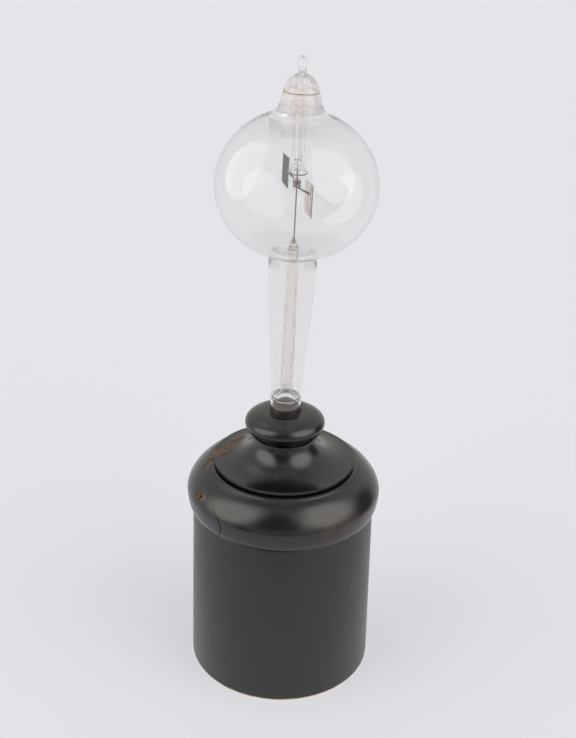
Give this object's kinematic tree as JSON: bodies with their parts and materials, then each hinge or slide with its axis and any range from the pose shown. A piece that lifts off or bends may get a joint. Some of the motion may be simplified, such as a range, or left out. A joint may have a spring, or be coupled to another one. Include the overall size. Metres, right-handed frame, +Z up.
{
  "type": "crookes radiometer",
  "caption": "Light mill: foil vanes on a glass cap turn on a needle inside a sealed glass bulb, whose tail stands in a turned black wooden base.",
  "frame": {"origin": "centre of the base's foot ring, on the surface the base stands on", "axes": "+Z up the wooden base, +X the side the glass leans to, -Y the side that the near vane faces at rest"},
  "size_m": [0.0786, 0.0786, 0.2535],
  "materials": {
    "ebonised_wood": "satin, ebonised and polished, worn at the edges",
    "brown_cement": "satin sealing cement",
    "clear_glass": "clear blown soda glass",
    "amber_glass": "amber weld line",
    "needle_steel": "dark polished steel",
    "arm_wire": "dull brown wire",
    "vane_foil": "dull thin foil",
    "lamp_black": "matt soot, faded to grey"
  },
  "bodies": {
    "stand": {"base_drum": "ebonised_wood", "base_moulding": "ebonised_wood", "pedestal": "ebonised_wood", "socket_knob": "ebonised_wood", "cement": "brown_cement", "tail_tube": "clear_glass", "bulb": "clear_glass", "neck": "clear_glass", "weld_ring": "amber_glass", "crown": "clear_glass", "seal_pip": "clear_glass", "guide_tube": "clear_glass", "stem_tube": "clear_glass", "stem_nubs": "clear_glass", "stem_tip": "clear_glass", "needle": "needle_steel"},
    "rotor": {"pivot_cap": "clear_glass", "hub_band": "arm_wire", "near_arm": "arm_wire", "far_arm": "arm_wire", "near_vane": "vane_foil", "far_vane": "vane_foil", "near_coat": "lamp_black", "far_coat": "lamp_black"}
  },
  "joints": [
    {"name": "rotor_spin", "type": "hinge", "parent": "stand", "child": "rotor", "pos_m": [0.00209, 0, 0.20718], "axis": [0.0227, 0, 0.9997], "continuous": true}
  ]
}
